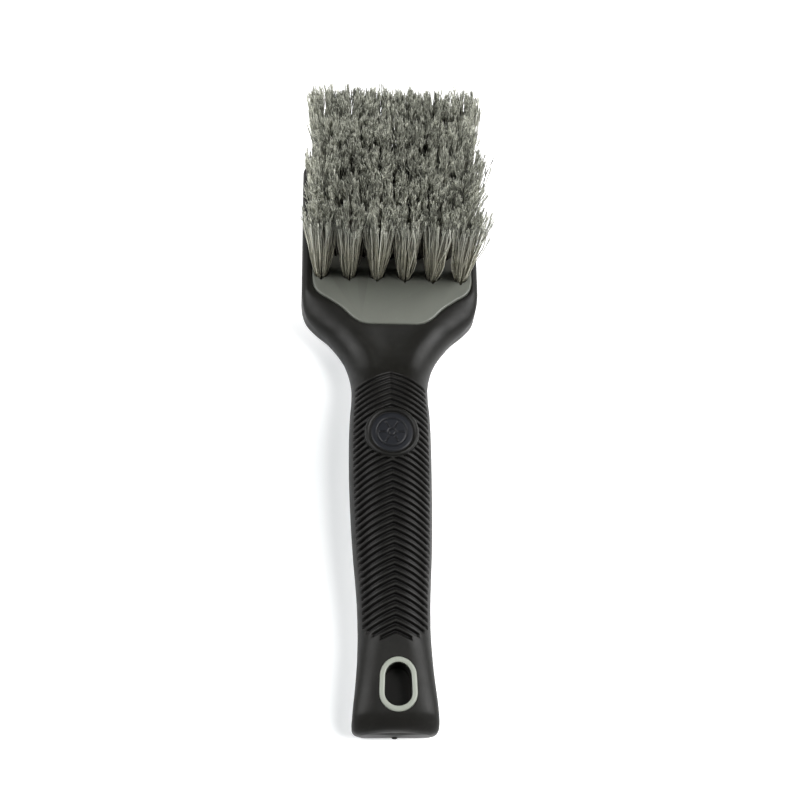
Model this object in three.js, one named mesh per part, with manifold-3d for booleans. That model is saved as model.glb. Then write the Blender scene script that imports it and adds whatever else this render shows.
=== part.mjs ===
// Short-handled wheel brush, lying on its back with the bristles up.
// Millimetres. +X to the right, +Y from the butt of the handle to the head, +Z up.
// Origin: centre of the outline, in the plane the brush lies on.
//
// A rigid core (head plate, stem, ring at the pocket) sits inside a soft
// overmould (back, rim, shoulders, grip, butt). Each of the 28 tufts is folded
// round a flat wire anchor and held in its own blind hole of the head plate.

import * as THREE from 'three';
import Module from 'manifold-3d';
import { mergeVertices } from 'three/addons/utils/BufferGeometryUtils.js';

const wasm = await Module();
wasm.setup();

// ---------------------------------------------------------------- dimensions
const CLEAR = 0.3;            // gap between neighbouring pieces

const PLATE_TOP = 15.9;       // bristle face of the head plate
const PLATE_BOTTOM = 2.5;
const PLATE_HALF_W = 29.9;
const PLATE_FAR_Y = 107.4;
const PLATE_FAR_R = 3.0;
const PLATE_EDGE_BEVEL = 0.45;
const PLATE_SHIFT = 0.7;      // it sits a little to the right in the rubber

const STEM_HALF_W = 7.0;      // stem of the core, inside the handle

const HANG_Y = -94.6;         // centre of the slot-shaped pocket near the butt
const RING_X = 0.6;
const RING_W = 12.7;          // ring of the core round the pocket, outside
const RING_L = 18.3;
const HANG_W = 8.9;           // the pocket itself
const HANG_L = 14.3;
const RING_BOTTOM = 2.5;
const POCKET_FLOOR = 8.0;     // height of its rubber floor

const TUFT_ROWS = [6, 5, 6, 5, 6];
const TUFT_PITCH_X = 10.45;
const TUFT_PITCH_Y = 10.25;
const TUFT_FIRST_Y = 60.9;    // row nearest the handle
const TUFT_X = 0.63;          // middle of the pattern
const TUFT_SKEW_DEG = -1.2;   // the drilled pattern sits slightly askew
const HOLE_R = 2.8;
const HOLE_BOTTOM = 5.9;
const SLOT_W = 1.1;           // slot the anchor is driven through
const SLOT_L = 7.2;
const SLOT_BOTTOM = 7.3;

const TUFT_ROOT_R = 2.4;
const TUFT_TIP_R = 4.6;
const TRIM_Z = 60.5;          // bristle tips
const TIP_CENTRE_X = [-0.6, -0.7, -1.1, -1.5, -1.7];      // middle of each row's tips
const TIP_SPREAD_X = [0.985, 1.17, 0.955, 1.12, 0.93];     // how far the tips stay over their roots
const TIP_LEAN_Y = [-1.2, 0.2, 1.6, 3.0, 4.8];             // rows splay towards butt and head

const ANCHOR_T = 0.5;         // flat wire anchor
const ANCHOR_L = 6.6;
const ANCHOR_H = 2.2;
const ANCHOR_Z = 7.6;         // its lower edge

const BADGE_Y = -6.3;         // round badge on the grip
const BADGE_R = 9.6;
const BADGE_RECESS_R = 8.0;
const BADGE_TOP = 22.15;
const BADGE_RECESS = 0.45;

const RIB_FIRST_Y = 19.0;     // chevron grooves of the grip: first apex
const RIB_PITCH = 2.465;      // spacing along the handle
const RIB_COUNT = 40;
const RIB_SLOPE = 0.46;       // fall per millimetre to the side
const RIB_GROOVE_W = 1.15;
const RIB_GROOVE_DEPTH = 0.8;
const RIB_HALF_W = 12.0;      // half length of a groove, across the handle

// Stations of the overmould, head to butt:
// y, half width, bottom z, top z, top corner x, top corner z, bottom corner x, bottom corner z
const BODY = [
  [110.0, 29.0, 2.0, 13.3, 1.5, 1.5, 1.5, 1.5],
  [109.7, 30.6, 1.1, 14.4, 2.0, 2.0, 2.0, 2.0],
  [109.0, 31.8, 0.4, 15.1, 2.3, 2.3, 2.4, 2.4],
  [107.8, 32.6, 0.05, 15.45, 2.4, 2.4, 2.5, 2.5],
  [106.0, 33.0, 0.0, 15.5, 2.4, 2.4, 2.5, 2.5],
  [88.0, 33.0, 0.0, 15.5, 2.4, 2.4, 2.5, 2.5],
  [70.0, 33.0, 0.0, 15.5, 2.4, 2.4, 2.5, 2.5],
  [54.5, 33.0, 0.0, 15.5, 2.5, 2.5, 2.6, 2.6],
  [51.0, 32.75, 0.0, 15.5, 5.0, 2.9, 2.8, 2.8],
  [48.0, 32.25, 0.0, 15.5, 9.0, 3.7, 4.0, 3.8],
  [45.2, 31.35, 0.0, 15.5, 11.5, 4.8, 5.0, 4.6],
  [43.6, 30.5, 0.0, 15.5, 12.0, 5.4, 5.8, 5.2],
  [42.2, 29.4, 0.0, 15.5, 12.3, 5.9, 6.4, 5.6],
  [40.8, 28.2, 0.0, 15.5, 12.4, 6.3, 6.8, 6.0],
  [39.3, 26.7, 0.0, 15.55, 12.3, 6.7, 7.2, 6.2],
  [37.8, 25.0, 0.02, 15.6, 12.2, 7.0, 7.4, 6.4],
  [36.3, 23.4, 0.06, 15.65, 12.0, 7.3, 7.6, 6.5],
  [34.8, 22.1, 0.1, 15.72, 11.8, 7.5, 7.7, 6.5],
  [33.4, 21.0, 0.15, 15.78, 11.6, 7.7, 7.7, 6.5],
  [30.5, 18.85, 0.3, 15.9, 11.3, 8.0, 8.0, 6.4],
  [27.6, 17.1, 0.45, 16.05, 11.0, 8.3, 8.2, 6.3],
  [24.7, 15.75, 0.6, 16.35, 11.0, 8.6, 8.4, 5.6],
  [21.9, 14.95, 0.75, 16.7, 11.0, 8.9, 9.2, 5.8],
  [18.5, 14.25, 0.9, 17.6, 11.0, 9.2, 10.0, 6.0],
  [15.0, 13.9, 1.0, 18.7, 11.1, 9.6, 10.6, 6.3],
  [11.0, 13.95, 1.1, 19.8, 11.3, 10.0, 11.0, 6.6],
  [5.0, 14.4, 1.2, 21.1, 11.8, 10.8, 11.6, 7.0],
  [-3.4, 14.7, 1.3, 21.9, 12.2, 11.5, 12.0, 7.3],
  [-12.0, 14.8, 1.4, 22.0, 12.4, 11.9, 12.2, 7.5],
  [-24.0, 14.7, 1.5, 21.6, 12.3, 12.0, 12.1, 7.5],
  [-35.6, 14.4, 1.5, 20.9, 12.1, 11.7, 11.9, 7.3],
  [-47.0, 13.9, 1.5, 20.0, 11.6, 11.1, 11.4, 7.0],
  [-58.0, 13.15, 1.4, 18.9, 11.0, 10.3, 10.8, 6.6],
  [-68.0, 12.62, 1.25, 17.7, 10.4, 9.4, 10.2, 6.1],
  [-76.0, 12.5, 1.0, 16.7, 10.0, 8.5, 9.6, 5.6],
  [-84.0, 12.72, 0.6, 15.75, 10.0, 7.2, 8.8, 5.1],
  [-91.0, 13.22, 0.25, 15.0, 10.3, 6.3, 7.8, 4.6],
  [-96.0, 13.7, 0.05, 14.45, 10.6, 5.6, 6.8, 4.1],
  [-100.5, 14.2, 0.0, 13.9, 10.9, 5.2, 5.6, 3.6],
  [-104.0, 14.5, 0.0, 13.2, 11.2, 5.2, 4.8, 3.2],
  [-106.2, 14.65, 0.0, 12.35, 11.4, 5.1, 4.2, 3.0],
  [-107.6, 14.6, 0.1, 11.45, 11.4, 4.9, 3.8, 2.8],
  [-108.8, 14.15, 0.5, 10.5, 11.0, 4.6, 3.4, 2.6],
  [-109.6, 13.2, 1.3, 9.6, 10.0, 4.0, 2.8, 2.2],
  [-110.0, 11.9, 2.2, 8.7, 8.4, 3.2, 2.0, 1.6],
];

// Thumb valley between the two ridges that run from the shoulders to the grip:
// y, depth
const VALLEY = [[13.5, 0], [16.0, 0.15], [18.5, 0.5], [21.9, 1.15], [24.7, 1.75], [27.6, 2.1], [30.5, 2.2], [33.4, 2.0],
  [36.3, 1.55], [38.5, 1.0], [40.8, 0.4], [43, 0]];
const VALLEY_REACH = [[-110, 8.2], [22, 8.2], [25, 8.45], [28.5, 9.3], [32, 11.4], [60, 35.3]];   // y, half width of the valley

// Front edge of the head plate, right half, from its side to the middle: x, y
const PLATE_FRONT = [[29.9, 59.5], [29.75, 57.2], [29.2, 55.0], [28.0, 53.0], [26.2, 51.5], [24.2, 50.3], [22.2, 48.9],
  [20.2, 47.5], [18.4, 46.0], [16.6, 44.1], [15.0, 42.5], [13.2, 41.2], [11.4, 40.3], [9.0, 39.8]];

// Side view of the stem: y, z
const STEM = [[46, 4.2], [46, 11.4], [38, 10.6], [31, 10.2], [22, 11.4], [6, 15.2], [-8, 17.2], [-25, 17.3],
  [-45, 16.1], [-64, 14.2], [-78, 12.4], [-86.3, 11.2], [-86.3, 4.2], [-60, 4.7], [-20, 5.0], [20, 4.4]];

// ------------------------------------------------------------------- helpers
function toSolid(geometry) {
  const g = geometry.clone();
  for (const name of Object.keys(g.attributes)) if (name !== 'position') g.deleteAttribute(name);
  const m = mergeVertices(g, 1e-4);
  const index = m.index.array;
  const tri = [];
  for (let i = 0; i < index.length; i += 3) {
    const [a, b, c] = [index[i], index[i + 1], index[i + 2]];
    if (a !== b && b !== c && a !== c) tri.push(a, b, c);
  }
  return new wasm.Manifold(new wasm.Mesh({
    numProp: 3,
    vertProperties: new Float32Array(m.attributes.position.array),
    triVerts: new Uint32Array(tri),
  }));
}

function toGeometry(solid) {
  const mesh = solid.getMesh();
  const g = new THREE.BufferGeometry();
  g.setAttribute('position', new THREE.BufferAttribute(new Float32Array(mesh.vertProperties), 3));
  g.setIndex(new THREE.BufferAttribute(new Uint32Array(mesh.triVerts), 1));
  g.computeVertexNormals();
  return g;
}

function interp(table, y) {
  const rows = [...table].sort((p, q) => p[0] - q[0]);
  if (y <= rows[0][0]) return rows[0][1];
  if (y >= rows[rows.length - 1][0]) return rows[rows.length - 1][1];
  let i = 0;
  while (rows[i + 1][0] < y) i += 1;
  const t = (y - rows[i][0]) / (rows[i + 1][0] - rows[i][0]);
  return rows[i][1] + t * (rows[i + 1][1] - rows[i][1]);
}

// Right half of a body section, from the top centre to the bottom centre.
function halfSection([y, a, zb, zt, tx, tz, bx, bz]) {
  const pts = [];
  const TOP = 3, ARC = 6, BOT = 4;
  for (let i = 0; i < TOP; i += 1) pts.push([(a - tx) * i / TOP, zt]);
  for (let i = 0; i <= ARC; i += 1) {
    const t = (Math.PI / 2) * i / ARC;
    pts.push([a - tx + tx * Math.sin(t), zt - tz + tz * Math.cos(t)]);
  }
  for (let i = 0; i <= BOT; i += 1) {
    const t = (Math.PI / 2) * i / BOT;
    pts.push([a - bx + bx * Math.cos(t), zb + bz - bz * Math.sin(t)]);
  }
  pts.push([0, zb]);
  const mid = (zt + zb) / 2;
  const depth = interp(VALLEY, y);
  const reach = interp(VALLEY_REACH, y);
  return pts.map(([x, z]) => {
    const w = Math.min(1, Math.max(0, (z - mid) / (zt - mid)));
    const s = Math.min(1, x / reach);
    return [x, z - w * depth * (1 - s * s) ** 2];
  });
}

// Closed body through the stations: a cylinder's rings moved onto the sections.
function bodySolid(inset = 0) {
  const rows = BODY.map(([y, a, zb, zt, tx, tz, bx, bz]) => [y, a - inset, zb + inset, zt - inset,
    Math.max(tx - inset, 0.6), Math.max(tz - inset, 0.6), Math.max(bx - inset, 0.6), Math.max(bz - inset, 0.6)]);
  const halves = rows.map(halfSection);
  const m = halves[0].length - 1;
  const n = 2 * m;
  const g = new THREE.CylinderGeometry(1, 1, 1, n, BODY.length - 1);
  const p = g.attributes.position;
  for (let i = 0; i < p.count; i += 1) {
    const x = p.getX(i), y = p.getY(i), z = p.getZ(i);
    const row = Math.round((0.5 - y) * (BODY.length - 1));
    const half = halves[row];
    if (Math.hypot(x, z) < 0.5) {
      p.setXYZ(i, 0, rows[row][0], (rows[row][2] + rows[row][3]) / 2);
      continue;
    }
    const k = (Math.round(Math.atan2(x, z) / (2 * Math.PI) * n) + n) % n;
    const q = k <= m ? half[k] : half[n - k];
    p.setXYZ(i, k <= m ? q[0] : -q[0], BODY[row][0], q[1]);
  }
  return toSolid(g);
}

function grow(points, d) {
  // Moves every side of a counter-clockwise outline outwards by d.
  const n = points.length;
  return points.map((p, i) => {
    const a = points[(i + n - 1) % n], b = points[(i + 1) % n];
    const e1 = [p[0] - a[0], p[1] - a[1]], e2 = [b[0] - p[0], b[1] - p[1]];
    const l1 = Math.hypot(...e1), l2 = Math.hypot(...e2);
    const n1 = [e1[1] / l1, -e1[0] / l1], n2 = [e2[1] / l2, -e2[0] / l2];
    const k = 1 + n1[0] * n2[0] + n1[1] * n2[1];
    return [p[0] + d * (n1[0] + n2[0]) / k, p[1] + d * (n1[1] + n2[1]) / k];
  });
}

function plateOutline() {
  const right = [];
  for (let i = 0; i <= 4; i += 1) {
    const t = (Math.PI / 2) * i / 4;
    right.push([PLATE_HALF_W - PLATE_FAR_R + PLATE_FAR_R * Math.cos(t), PLATE_FAR_Y - PLATE_FAR_R + PLATE_FAR_R * Math.sin(t)]);
  }
  // counter-clockwise: right side upwards, far edge, left side down, front edge
  const front = PLATE_FRONT.slice().reverse();              // middle to right side
  const left = right.slice().reverse().map(([x, y]) => [-x, y]);
  const frontLeft = PLATE_FRONT.map(([x, y]) => [-x, y]);   // left side to the middle
  return [...front, ...right, ...left, ...frontLeft].map(([x, y]) => [x + PLATE_SHIFT, y]);
}

function prismZ(points, z0, z1) {
  const shape = new THREE.Shape(points.map(([x, y]) => new THREE.Vector2(x, y)));
  const g = new THREE.ExtrudeGeometry(shape, { depth: z1 - z0, bevelEnabled: false, steps: 1 });
  g.translate(0, 0, z0);
  return toSolid(g);
}

// A side-view outline (y, z) made into a solid of the given half width.
function prismX(points, half) {
  const shape = new THREE.Shape(points.map(([y, z]) => new THREE.Vector2(y, z)));
  const g = new THREE.ExtrudeGeometry(shape, { depth: 2 * half, bevelEnabled: false, steps: 1 });
  g.translate(0, 0, -half);
  g.applyMatrix4(new THREE.Matrix4().makeBasis(
    new THREE.Vector3(0, 1, 0), new THREE.Vector3(0, 0, 1), new THREE.Vector3(1, 0, 0)));
  return toSolid(g);
}

function slotOutline(w, l, yc, arc = 7) {
  const r = w / 2, pts = [];
  for (let i = 0; i <= arc; i += 1) {
    const t = Math.PI * i / arc;
    pts.push([RING_X + r * Math.cos(t), yc + l / 2 - r + r * Math.sin(t)]);
  }
  for (let i = 0; i <= arc; i += 1) {
    const t = Math.PI + Math.PI * i / arc;
    pts.push([RING_X + r * Math.cos(t), yc - l / 2 + r + r * Math.sin(t)]);
  }
  return pts;
}

function boxSolid(x, y, z, cx, cy, cz) {
  const g = new THREE.BoxGeometry(x, y, z);
  g.translate(cx, cy, cz);
  return toSolid(g);
}

function cylinderZ(r, z0, z1, cx, cy, sides) {
  const g = new THREE.CylinderGeometry(r, r, z1 - z0, sides, 1);
  g.rotateX(Math.PI / 2);
  g.translate(cx, cy, (z0 + z1) / 2);
  return toSolid(g);
}

// -------------------------------------------------------------- tuft pattern
const tuftPlaces = [];
{
  const yMid = TUFT_FIRST_Y + TUFT_PITCH_Y * (TUFT_ROWS.length - 1) / 2;
  const c = Math.cos(THREE.MathUtils.degToRad(TUFT_SKEW_DEG));
  const s = Math.sin(THREE.MathUtils.degToRad(TUFT_SKEW_DEG));
  TUFT_ROWS.forEach((count, row) => {
    for (let i = 0; i < count; i += 1) {
      const x = (i - (count - 1) / 2) * TUFT_PITCH_X;
      const y = TUFT_FIRST_Y + row * TUFT_PITCH_Y - yMid;
      const px = TUFT_X + c * x - s * y;
      tuftPlaces.push({
        row, tag: `r${row + 1}_${i + 1}`,
        x: px, y: yMid + s * x + c * y,
        leanX: TIP_CENTRE_X[row] + TIP_SPREAD_X[row] * (px - TUFT_X) - px, leanY: TIP_LEAN_Y[row],
      });
    }
  });
}

// --------------------------------------------------------------------- core
const body = bodySolid();
const outline = plateOutline();

let core = prismZ(outline, PLATE_BOTTOM, PLATE_TOP - PLATE_EDGE_BEVEL)
  .add(prismZ(grow(outline, -PLATE_EDGE_BEVEL), PLATE_BOTTOM + 1, PLATE_TOP));
core = core.add(prismX(STEM, STEM_HALF_W));
core = core.add(prismZ(slotOutline(RING_W, RING_L, HANG_Y), RING_BOTTOM, 30).intersect(body));
core = core.subtract(prismZ(slotOutline(HANG_W, HANG_L, HANG_Y), -10, 40));
for (const t of tuftPlaces) {
  const hole = cylinderZ(HOLE_R, HOLE_BOTTOM, 25, t.x, t.y, 12)
    .add(boxSolid(SLOT_W, SLOT_L, 25 - SLOT_BOTTOM, t.x, t.y, (25 + SLOT_BOTTOM) / 2));
  core = core.subtract(hole);
}

// ---------------------------------------------------------------- overmould
let overmould = body;
{
  const pad = cylinderZ(BADGE_R, 12, BADGE_TOP, 0, BADGE_Y, 28);
  const recess = cylinderZ(BADGE_RECESS_R, BADGE_TOP - BADGE_RECESS, 40, 0, BADGE_Y, 28);
  // The chevron grooves follow the crown of the grip at an even depth and stop at the badge.
  let grooves = null;
  for (let i = 0; i < RIB_COUNT; i += 1) {
    const y = RIB_FIRST_Y - i * RIB_PITCH;
    const left = RIB_COUNT - 1 - i;         // the last grooves get shorter
    const half = Math.min(RIB_HALF_W, [5.5, 8.2, 10.1, 11.2][left] ?? RIB_HALF_W);
    const arm = (x, dy) => [x, y + dy - RIB_SLOPE * Math.abs(x)];
    const h = RIB_GROOVE_W / 2;
    const groove = prismZ([arm(-half, -h), arm(0, -h), arm(half, -h), arm(half, h), arm(0, h), arm(-half, h)], 8, 40);
    grooves = grooves ? grooves.add(groove) : groove;
  }
  grooves = grooves
    .subtract(cylinderZ(BADGE_R + 0.6, 0, 60, 0, BADGE_Y, 28))
    .subtract(bodySolid(RIB_GROOVE_DEPTH));
  overmould = overmould.subtract(grooves).add(pad).subtract(recess);
  overmould = overmould
    .subtract(prismZ(grow(outline, CLEAR), PLATE_BOTTOM - CLEAR, 40))
    .subtract(prismX(grow(STEM, CLEAR), STEM_HALF_W + CLEAR))
    .subtract(prismZ(slotOutline(RING_W + 2 * CLEAR, RING_L + 2 * CLEAR, HANG_Y), RING_BOTTOM - CLEAR, 40)
      .subtract(prismZ(slotOutline(HANG_W - 2 * CLEAR, HANG_L - 2 * CLEAR, HANG_Y), -10, POCKET_FLOOR)));
}

// ---------------------------------------------------------- tufts and anchors
const SIDES = 10;
function tuftSolid(t) {
  // A bundle that is round in its hole and fans out to the trimmed tips.
  const rows = [
    [HOLE_BOTTOM + CLEAR, TUFT_ROOT_R, 0],
    [PLATE_TOP - 1.0, TUFT_ROOT_R, 0],
    [PLATE_TOP + 9, 3.35, 0.12],
    [PLATE_TOP + 24, 4.2, 0.45],
    [TRIM_Z, TUFT_TIP_R, 1],
  ];
  const g = new THREE.CylinderGeometry(1, 1, 1, SIDES, rows.length - 1);
  g.rotateX(Math.PI / 2);                   // the cylinder's +Y end becomes +Z
  const p = g.attributes.position;
  for (let i = 0; i < p.count; i += 1) {
    const k = Math.round((p.getZ(i) + 0.5) * (rows.length - 1));
    const [z, r, lean] = rows[k];
    p.setXYZ(i, p.getX(i) * r + t.x + lean * t.leanX, p.getY(i) * r + t.y + lean * t.leanY, z);
  }
  const window = boxSolid(ANCHOR_T + 2 * CLEAR, 12, ANCHOR_H + 2 * CLEAR, t.x, t.y, ANCHOR_Z + ANCHOR_H / 2);
  return toSolid(g).subtract(window);
}

// ------------------------------------------------------------------ assembly
const group = new THREE.Group();
const rubber = { color: 0x2b2a28, roughness: 0.62, metalness: 0 };
const grey = { color: 0x6a6c64, roughness: 0.5, metalness: 0 };
const bristle = { color: 0x9b978a, roughness: 0.7, metalness: 0 };
const steel = { color: 0xb4b6b8, roughness: 0.35, metalness: 1 };

function addMesh(parent, name, geometry, look) {
  const mesh = new THREE.Mesh(geometry, new THREE.MeshStandardMaterial(look));
  mesh.name = name;
  parent.add(mesh);
  return mesh;
}

addMesh(group, 'core', toGeometry(core), grey);
addMesh(group, 'overmould', toGeometry(overmould), rubber);

const tufts = new THREE.Group();
const anchors = new THREE.Group();
group.add(tufts, anchors);
for (const t of tuftPlaces) {
  addMesh(tufts, `tuft_${t.tag}`, toGeometry(tuftSolid(t)), bristle);
  const wire = addMesh(anchors, `anchor_${t.tag}`, new THREE.BoxGeometry(ANCHOR_T, ANCHOR_L, ANCHOR_H), steel);
  wire.position.set(t.x, t.y, ANCHOR_Z + ANCHOR_H / 2);
}

export default group;
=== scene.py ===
import math

import bpy
import numpy as np
from mathutils import Matrix, Vector


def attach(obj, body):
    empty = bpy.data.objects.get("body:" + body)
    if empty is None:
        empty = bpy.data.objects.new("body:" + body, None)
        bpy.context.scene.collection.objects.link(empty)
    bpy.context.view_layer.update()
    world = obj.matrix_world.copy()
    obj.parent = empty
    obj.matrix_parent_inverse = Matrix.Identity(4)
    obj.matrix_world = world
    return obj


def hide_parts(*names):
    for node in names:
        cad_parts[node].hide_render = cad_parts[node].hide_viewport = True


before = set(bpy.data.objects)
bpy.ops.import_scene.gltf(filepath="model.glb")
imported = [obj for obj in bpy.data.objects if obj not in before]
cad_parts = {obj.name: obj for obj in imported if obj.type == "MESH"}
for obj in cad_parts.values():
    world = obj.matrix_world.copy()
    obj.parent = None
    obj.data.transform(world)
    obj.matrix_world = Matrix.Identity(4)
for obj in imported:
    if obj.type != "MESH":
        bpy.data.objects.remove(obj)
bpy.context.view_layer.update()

MM = 0.001
rng = np.random.default_rng(20611)

# ------------------------------------------------------------------ dimensions
PLATE_TOP = 15.9
PLATE_BOTTOM = 2.5
PLATE_HALF_W, PLATE_FAR_Y, PLATE_FAR_R = 29.9, 107.4, 3.0
PLATE_FRONT = [(29.9, 59.5), (29.75, 57.2), (29.2, 55.0), (28.0, 53.0), (26.2, 51.5), (24.2, 50.3), (22.2, 48.9),
               (20.2, 47.5), (18.4, 46.0), (16.6, 44.1), (15.0, 42.5), (13.2, 41.2), (11.4, 40.3), (9.0, 39.8)]
PLATE_SHIFT = 0.7                       # the plate sits a little to the right in the rubber
STEM_HALF_W = 7.0
STEM = [(46, 4.2), (46, 11.4), (38, 10.6), (31, 10.2), (22, 11.4), (6, 15.2), (-8, 17.2), (-25, 17.3),
        (-45, 16.1), (-64, 14.2), (-78, 12.4), (-86.3, 11.2), (-86.3, 4.2), (-60, 4.7), (-20, 5.0), (20, 4.4)]
HANG_Y = -94.6
RING_X, RING_W, RING_L, HANG_W, HANG_L = 0.6, 12.7, 18.3, 8.9, 14.3
RING_BOTTOM, POCKET_FLOOR = 2.5, 8.6
TUFT_ROWS = [6, 5, 6, 5, 6]
TUFT_PITCH_X, TUFT_PITCH_Y, TUFT_FIRST_Y, TUFT_SKEW, TUFT_X = 10.45, 10.25, 60.9, -1.2, 0.63
HOLE_R, HOLE_BOTTOM = 2.8, 5.9
SLOT_W, SLOT_L, SLOT_BOTTOM = 1.1, 7.2, 7.3
TRIM_Z = 60.5
TIP_CENTRE_X = [-0.6, -0.7, -1.1, -1.5, -1.7]     # middle of each row's tips
TIP_SPREAD_X = [0.985, 1.17, 0.965, 1.12, 0.93]  # how far the row's tips stay under their roots
TIP_LEAN_Y = [-1.2, 0.2, 1.8, 3.7, 6.2]
BADGE_Y, BADGE_R = -6.3, 9.6
RIB_FIRST_Y, RIB_PITCH, RIB_COUNT, RIB_SLOPE = 19.0, 2.465, 40, 0.46
RIB_DEPTH = 1.15
RIB_END_SHORT = {39: 5.5, 38: 8.2, 37: 10.1, 36: 11.2}

BODY = np.array([
    [110.0, 29.0, 2.0, 13.3, 1.5, 1.5, 1.5, 1.5],
    [109.7, 30.6, 1.1, 14.4, 2.0, 2.0, 2.0, 2.0],
    [109.0, 31.8, 0.4, 15.1, 2.3, 2.3, 2.4, 2.4],
    [107.8, 32.6, 0.05, 15.45, 2.4, 2.4, 2.5, 2.5],
    [106.0, 33.0, 0.0, 15.5, 2.4, 2.4, 2.5, 2.5],
    [88.0, 33.0, 0.0, 15.5, 2.4, 2.4, 2.5, 2.5],
    [70.0, 33.0, 0.0, 15.5, 2.4, 2.4, 2.5, 2.5],
    [54.5, 33.0, 0.0, 15.5, 2.5, 2.5, 2.6, 2.6],
    [51.0, 32.75, 0.0, 15.5, 5.0, 2.9, 2.8, 2.8],
    [48.0, 32.25, 0.0, 15.5, 9.0, 3.7, 4.0, 3.8],
    [45.2, 31.35, 0.0, 15.5, 11.5, 4.8, 5.0, 4.6],
    [43.6, 30.5, 0.0, 15.5, 12.0, 5.4, 5.8, 5.2],
    [42.2, 29.4, 0.0, 15.5, 12.3, 5.9, 6.4, 5.6],
    [40.8, 28.2, 0.0, 15.5, 12.4, 6.3, 6.8, 6.0],
    [39.3, 26.7, 0.0, 15.55, 12.3, 6.7, 7.2, 6.2],
    [37.8, 25.0, 0.02, 15.6, 12.2, 7.0, 7.4, 6.4],
    [36.3, 23.4, 0.06, 15.65, 12.0, 7.3, 7.6, 6.5],
    [34.8, 22.1, 0.1, 15.72, 11.8, 7.5, 7.7, 6.5],
    [33.4, 21.0, 0.15, 15.78, 11.6, 7.7, 7.7, 6.5],
    [30.5, 18.85, 0.3, 15.9, 11.3, 8.0, 8.0, 6.4],
    [27.6, 17.1, 0.45, 16.05, 11.0, 8.3, 8.2, 6.3],
    [24.7, 15.75, 0.6, 16.35, 11.0, 8.6, 8.4, 5.6],
    [21.9, 14.95, 0.75, 16.7, 11.0, 8.9, 9.2, 5.8],
    [18.5, 14.25, 0.9, 17.6, 11.0, 9.2, 10.0, 6.0],
    [15.0, 13.9, 1.0, 18.7, 11.1, 9.6, 10.6, 6.3],
    [11.0, 13.95, 1.1, 19.8, 11.3, 10.0, 11.0, 6.6],
    [5.0, 14.4, 1.2, 21.1, 11.8, 10.8, 11.6, 7.0],
    [-3.4, 14.7, 1.3, 21.9, 12.2, 11.5, 12.0, 7.3],
    [-12.0, 14.8, 1.4, 22.0, 12.4, 11.9, 12.2, 7.5],
    [-24.0, 14.7, 1.5, 21.6, 12.3, 12.0, 12.1, 7.5],
    [-35.6, 14.4, 1.5, 20.9, 12.1, 11.7, 11.9, 7.3],
    [-47.0, 13.9, 1.5, 20.0, 11.6, 11.1, 11.4, 7.0],
    [-58.0, 13.15, 1.4, 18.9, 11.0, 10.3, 10.8, 6.6],
    [-68.0, 12.62, 1.25, 17.7, 10.4, 9.4, 10.2, 6.1],
    [-76.0, 12.5, 1.0, 16.7, 10.0, 8.5, 9.6, 5.6],
    [-84.0, 12.72, 0.6, 15.6, 8.6, 6.3, 8.8, 5.1],
    [-91.0, 13.22, 0.25, 14.85, 7.9, 5.3, 7.8, 4.6],
    [-96.0, 13.7, 0.05, 14.4, 7.8, 4.7, 6.8, 4.1],
    [-100.5, 14.2, 0.0, 13.95, 8.2, 4.4, 5.6, 3.6],
    [-104.0, 14.5, 0.0, 13.35, 9.2, 4.5, 4.8, 3.2],
    [-106.2, 14.65, 0.0, 12.45, 10.6, 4.8, 4.2, 3.0],
    [-107.6, 14.6, 0.1, 11.45, 11.2, 4.9, 3.8, 2.8],
    [-108.8, 14.15, 0.5, 10.5, 11.0, 4.6, 3.4, 2.6],
    [-109.6, 13.2, 1.3, 9.6, 10.0, 4.0, 2.8, 2.2],
    [-110.0, 11.9, 2.2, 8.7, 8.4, 3.2, 2.0, 1.6],
])[::-1]
VALLEY = np.array([[13.5, 0], [16.0, 0.15], [18.5, 0.5], [21.9, 1.15], [24.7, 1.75], [27.6, 2.1], [30.5, 2.2], [33.4, 2.0],
                   [36.3, 1.55], [38.5, 1.0], [40.8, 0.4], [43, 0]])


def valley_reach(y):
    return 8.2 + 0.86 * np.log1p(np.exp((y - 28.5) / 1.8)) * 1.8


def bend(y):
    """The handle isn't quite straight: it bows a little to the left in the middle."""
    return -0.75 * np.exp(-(((y + 12) / 46) ** 2))



# --------------------------------------------------------------------- helpers
def smooth(a, b, x):
    t = np.clip((x - a) / (b - a), 0, 1)
    return t * t * (3 - 2 * t)


def pchip(xs, ys, x):
    """Monotone cubic through the table, so that no station overshoots."""
    xs, ys, x = np.asarray(xs, float), np.asarray(ys, float), np.asarray(x, float)
    h = np.diff(xs)
    d = np.diff(ys) / h
    m = np.zeros_like(ys)
    for i in range(1, len(xs) - 1):
        if d[i - 1] * d[i] > 0:
            w1, w2 = 2 * h[i] + h[i - 1], h[i] + 2 * h[i - 1]
            m[i] = (w1 + w2) / (w1 / d[i - 1] + w2 / d[i])
    m[0], m[-1] = d[0], d[-1]
    x = np.clip(x, xs[0], xs[-1])
    i = np.clip(np.searchsorted(xs, x, side="right") - 1, 0, len(xs) - 2)
    t = (x - xs[i]) / h[i]
    h00, h10 = 2 * t**3 - 3 * t**2 + 1, t**3 - 2 * t**2 + t
    h01, h11 = -2 * t**3 + 3 * t**2, t**3 - t**2
    return h00 * ys[i] + h10 * h[i] * m[i] + h01 * ys[i + 1] + h11 * h[i] * m[i + 1]


COLS = {n: (lambda y, k=k: pchip(BODY[:, 0], BODY[:, k], y)) for k, n in enumerate(["y", "a", "zb", "zt", "tx", "tz", "bx", "bz"]) if k}
valley_depth = lambda y: pchip(VALLEY[:, 0], VALLEY[:, 1], y)

N_TOP, N_ARC, N_SIDE, N_BOT, N_FLAT = 10, 30, 3, 11, 6
HALF = N_TOP + N_ARC + N_SIDE + N_BOT + N_FLAT          # segments from top centre to bottom centre


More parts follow.
